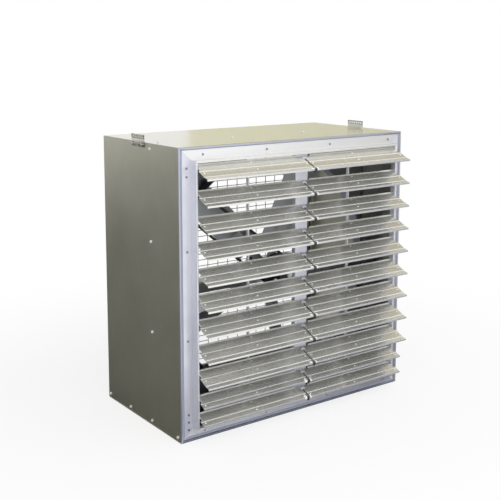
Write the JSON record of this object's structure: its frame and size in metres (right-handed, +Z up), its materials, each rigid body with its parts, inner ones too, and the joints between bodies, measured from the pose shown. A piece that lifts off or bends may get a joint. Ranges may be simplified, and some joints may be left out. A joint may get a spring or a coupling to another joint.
{
  "type": "cabinet exhaust fan",
  "caption": "Square sheet-aluminium cabinet exhaust fan with a propeller driven by a V-belt, a wire intake guard and a two-column gravity shutter linked by tie bars.",
  "frame": {"origin": "middle of the cabinet's underside", "axes": "+Z up, -Y out through the louvres with the air, +X towards the right-hand louvre column for a viewer who faces the louvres"},
  "size_m": [1.07, 0.6565, 1.08],
  "materials": {
    "cabinet_sheet": "mill",
    "frame_sheet": "mill",
    "louvre_sheet": "mill",
    "tie_bar_sheet": "mill",
    "nylon": "matte",
    "orifice_sheet": "mill",
    "hanger_steel": "satin",
    "bright_steel": "bright",
    "galvanised_steel": "satin",
    "guard_wire": "satin",
    "cast_iron": "painted",
    "belt_rubber": "matte",
    "propeller_sheet": "mill",
    "motor_paint": "satin",
    "motor_casting": "satin"
  },
  "bodies": {
    "cabinet": {"side_panel_left": "cabinet_sheet", "side_panel_right": "cabinet_sheet", "top_panel": "cabinet_sheet", "bottom_panel": "cabinet_sheet", "orifice_panel": "orifice_sheet", "throat_ring": "orifice_sheet", "hanger_plate_left": "hanger_steel", "hanger_plate_right": "hanger_steel", "hanger_bolts": "bright_steel", "shutter_stile_left": "frame_sheet", "shutter_stile_right": "frame_sheet", "shutter_rail_top": "frame_sheet", "shutter_rail_bottom": "frame_sheet", "shutter_mullion": "frame_sheet", "center_bearings": "nylon", "intake_guard": "guard_wire", "strut_front": "galvanised_steel", "strut_rear": "galvanised_steel", "bearing_front": "cast_iron", "bearing_rear": "cast_iron", "drive_bolts": "bright_steel", "motor_bracket": "galvanised_steel", "motor_shell": "motor_paint", "motor_end_bells": "motor_casting", "conduit_box": "motor_paint", "v_belt": "belt_rubber"},
    "louvre_left_1": {"louvre_left_1": "louvre_sheet"},
    "louvre_left_2": {"louvre_left_2": "louvre_sheet"},
    "louvre_left_3": {"louvre_left_3": "louvre_sheet"},
    "louvre_left_4": {"louvre_left_4": "louvre_sheet"},
    "louvre_left_5": {"louvre_left_5": "louvre_sheet"},
    "louvre_left_6": {"louvre_left_6": "louvre_sheet"},
    "louvre_left_7": {"louvre_left_7": "louvre_sheet"},
    "louvre_left_8": {"louvre_left_8": "louvre_sheet"},
    "louvre_left_9": {"louvre_left_9": "louvre_sheet"},
    "louvre_left_10": {"louvre_left_10": "louvre_sheet"},
    "louvre_left_11": {"louvre_left_11": "louvre_sheet"},
    "tie_bar_left": {"tie_bar_left": "tie_bar_sheet"},
    "louvre_right_1": {"louvre_right_1": "louvre_sheet"},
    "louvre_right_2": {"louvre_right_2": "louvre_sheet"},
    "louvre_right_3": {"louvre_right_3": "louvre_sheet"},
    "louvre_right_4": {"louvre_right_4": "louvre_sheet"},
    "louvre_right_5": {"louvre_right_5": "louvre_sheet"},
    "louvre_right_6": {"louvre_right_6": "louvre_sheet"},
    "louvre_right_7": {"louvre_right_7": "louvre_sheet"},
    "louvre_right_8": {"louvre_right_8": "louvre_sheet"},
    "louvre_right_9": {"louvre_right_9": "louvre_sheet"},
    "louvre_right_10": {"louvre_right_10": "louvre_sheet"},
    "louvre_right_11": {"louvre_right_11": "louvre_sheet"},
    "tie_bar_right": {"tie_bar_right": "tie_bar_sheet"},
    "fan_rotor": {"fan_shaft": "bright_steel", "fan_pulley": "cast_iron", "propeller_spider": "propeller_sheet", "fan_blade_1": "propeller_sheet", "fan_blade_2": "propeller_sheet", "fan_blade_3": "propeller_sheet", "fan_blade_4": "propeller_sheet", "fan_blade_5": "propeller_sheet"},
    "motor_rotor": {"motor_shaft": "bright_steel", "motor_pulley": "cast_iron"}
  },
  "joints": [
    {"name": "louvre_left_1_pivot", "type": "hinge", "parent": "cabinet", "child": "louvre_left_1", "pos_m": [-0.23955, -0.3015, 0.984], "axis": [1, 0, 0], "range_deg": [-15, 48]},
    {"name": "louvre_left_2_pivot", "type": "hinge", "parent": "cabinet", "child": "louvre_left_2", "pos_m": [-0.23955, -0.3015, 0.8926], "axis": [1, 0, 0], "range_deg": [-15, 48]},
    {"name": "louvre_left_3_pivot", "type": "hinge", "parent": "cabinet", "child": "louvre_left_3", "pos_m": [-0.23955, -0.3015, 0.8012], "axis": [1, 0, 0], "range_deg": [-15, 48]},
    {"name": "louvre_left_4_pivot", "type": "hinge", "parent": "cabinet", "child": "louvre_left_4", "pos_m": [-0.23955, -0.3015, 0.7098], "axis": [1, 0, 0], "range_deg": [-15, 48]},
    {"name": "louvre_left_5_pivot", "type": "hinge", "parent": "cabinet", "child": "louvre_left_5", "pos_m": [-0.23955, -0.3015, 0.6184], "axis": [1, 0, 0], "range_deg": [-15, 48]},
    {"name": "louvre_left_6_pivot", "type": "hinge", "parent": "cabinet", "child": "louvre_left_6", "pos_m": [-0.23955, -0.3015, 0.527], "axis": [1, 0, 0], "range_deg": [-15, 48]},
    {"name": "louvre_left_7_pivot", "type": "hinge", "parent": "cabinet", "child": "louvre_left_7", "pos_m": [-0.23955, -0.3015, 0.4356], "axis": [1, 0, 0], "range_deg": [-15, 48]},
    {"name": "louvre_left_8_pivot", "type": "hinge", "parent": "cabinet", "child": "louvre_left_8", "pos_m": [-0.23955, -0.3015, 0.3442], "axis": [1, 0, 0], "range_deg": [-15, 48]},
    {"name": "louvre_left_9_pivot", "type": "hinge", "parent": "cabinet", "child": "louvre_left_9", "pos_m": [-0.23955, -0.3015, 0.2528], "axis": [1, 0, 0], "range_deg": [-15, 48]},
    {"name": "louvre_left_10_pivot", "type": "hinge", "parent": "cabinet", "child": "louvre_left_10", "pos_m": [-0.23955, -0.3015, 0.1614], "axis": [1, 0, 0], "range_deg": [-15, 48]},
    {"name": "louvre_left_11_pivot", "type": "hinge", "parent": "cabinet", "child": "louvre_left_11", "pos_m": [-0.23955, -0.3015, 0.0959], "axis": [1, 0, 0], "range_deg": [-15, 48]},
    {"name": "tie_bar_left_pin", "type": "hinge", "parent": "louvre_left_1", "child": "tie_bar_left", "pos_m": [-0.23805, -0.27529, 0.96565], "axis": [1, 0, 0], "range_deg": [-48, 15]},
    {"name": "louvre_right_1_pivot", "type": "hinge", "parent": "cabinet", "child": "louvre_right_1", "pos_m": [0.23955, -0.3015, 0.984], "axis": [1, 0, 0], "range_deg": [-15, 48]},
    {"name": "louvre_right_2_pivot", "type": "hinge", "parent": "cabinet", "child": "louvre_right_2", "pos_m": [0.23955, -0.3015, 0.8926], "axis": [1, 0, 0], "range_deg": [-15, 48]},
    {"name": "louvre_right_3_pivot", "type": "hinge", "parent": "cabinet", "child": "louvre_right_3", "pos_m": [0.23955, -0.3015, 0.8012], "axis": [1, 0, 0], "range_deg": [-15, 48]},
    {"name": "louvre_right_4_pivot", "type": "hinge", "parent": "cabinet", "child": "louvre_right_4", "pos_m": [0.23955, -0.3015, 0.7098], "axis": [1, 0, 0], "range_deg": [-15, 48]},
    {"name": "louvre_right_5_pivot", "type": "hinge", "parent": "cabinet", "child": "louvre_right_5", "pos_m": [0.23955, -0.3015, 0.6184], "axis": [1, 0, 0], "range_deg": [-15, 48]},
    {"name": "louvre_right_6_pivot", "type": "hinge", "parent": "cabinet", "child": "louvre_right_6", "pos_m": [0.23955, -0.3015, 0.527], "axis": [1, 0, 0], "range_deg": [-15, 48]},
    {"name": "louvre_right_7_pivot", "type": "hinge", "parent": "cabinet", "child": "louvre_right_7", "pos_m": [0.23955, -0.3015, 0.4356], "axis": [1, 0, 0], "range_deg": [-15, 48]},
    {"name": "louvre_right_8_pivot", "type": "hinge", "parent": "cabinet", "child": "louvre_right_8", "pos_m": [0.23955, -0.3015, 0.3442], "axis": [1, 0, 0], "range_deg": [-15, 48]},
    {"name": "louvre_right_9_pivot", "type": "hinge", "parent": "cabinet", "child": "louvre_right_9", "pos_m": [0.23955, -0.3015, 0.2528], "axis": [1, 0, 0], "range_deg": [-15, 48]},
    {"name": "louvre_right_10_pivot", "type": "hinge", "parent": "cabinet", "child": "louvre_right_10", "pos_m": [0.23955, -0.3015, 0.1614], "axis": [1, 0, 0], "range_deg": [-15, 48]},
    {"name": "louvre_right_11_pivot", "type": "hinge", "parent": "cabinet", "child": "louvre_right_11", "pos_m": [0.23955, -0.3015, 0.0959], "axis": [1, 0, 0], "range_deg": [-15, 48]},
    {"name": "tie_bar_right_pin", "type": "hinge", "parent": "louvre_right_1", "child": "tie_bar_right", "pos_m": [0.24105, -0.27529, 0.96565], "axis": [1, 0, 0], "range_deg": [-48, 15]},
    {"name": "fan_spin", "type": "hinge", "parent": "cabinet", "child": "fan_rotor", "pos_m": [0, -0.0725, 0.527], "axis": [0, 1, 0], "continuous": true},
    {"name": "motor_spin", "type": "hinge", "parent": "cabinet", "child": "motor_rotor", "pos_m": [-0.4291, -0.1375, 0.867], "axis": [0, 1, 0], "continuous": true}
  ],
  "couplings": [
    {"joint": "louvre_left_2_pivot", "follows": "louvre_left_1_pivot", "ratio": 1},
    {"joint": "louvre_left_3_pivot", "follows": "louvre_left_1_pivot", "ratio": 1},
    {"joint": "louvre_left_4_pivot", "follows": "louvre_left_1_pivot", "ratio": 1},
    {"joint": "louvre_left_5_pivot", "follows": "louvre_left_1_pivot", "ratio": 1},
    {"joint": "louvre_left_6_pivot", "follows": "louvre_left_1_pivot", "ratio": 1},
    {"joint": "louvre_left_7_pivot", "follows": "louvre_left_1_pivot", "ratio": 1},
    {"joint": "louvre_left_8_pivot", "follows": "louvre_left_1_pivot", "ratio": 1},
    {"joint": "louvre_left_9_pivot", "follows": "louvre_left_1_pivot", "ratio": 1},
    {"joint": "louvre_left_10_pivot", "follows": "louvre_left_1_pivot", "ratio": 1},
    {"joint": "louvre_left_11_pivot", "follows": "louvre_left_1_pivot", "ratio": 1},
    {"joint": "tie_bar_left_pin", "follows": "louvre_left_1_pivot", "ratio": -1},
    {"joint": "louvre_right_2_pivot", "follows": "louvre_right_1_pivot", "ratio": 1},
    {"joint": "louvre_right_3_pivot", "follows": "louvre_right_1_pivot", "ratio": 1},
    {"joint": "louvre_right_4_pivot", "follows": "louvre_right_1_pivot", "ratio": 1},
    {"joint": "louvre_right_5_pivot", "follows": "louvre_right_1_pivot", "ratio": 1},
    {"joint": "louvre_right_6_pivot", "follows": "louvre_right_1_pivot", "ratio": 1},
    {"joint": "louvre_right_7_pivot", "follows": "louvre_right_1_pivot", "ratio": 1},
    {"joint": "louvre_right_8_pivot", "follows": "louvre_right_1_pivot", "ratio": 1},
    {"joint": "louvre_right_9_pivot", "follows": "louvre_right_1_pivot", "ratio": 1},
    {"joint": "louvre_right_10_pivot", "follows": "louvre_right_1_pivot", "ratio": 1},
    {"joint": "louvre_right_11_pivot", "follows": "louvre_right_1_pivot", "ratio": 1},
    {"joint": "tie_bar_right_pin", "follows": "louvre_right_1_pivot", "ratio": -1},
    {"joint": "motor_spin", "follows": "fan_spin", "ratio": 1.3}
  ]
}
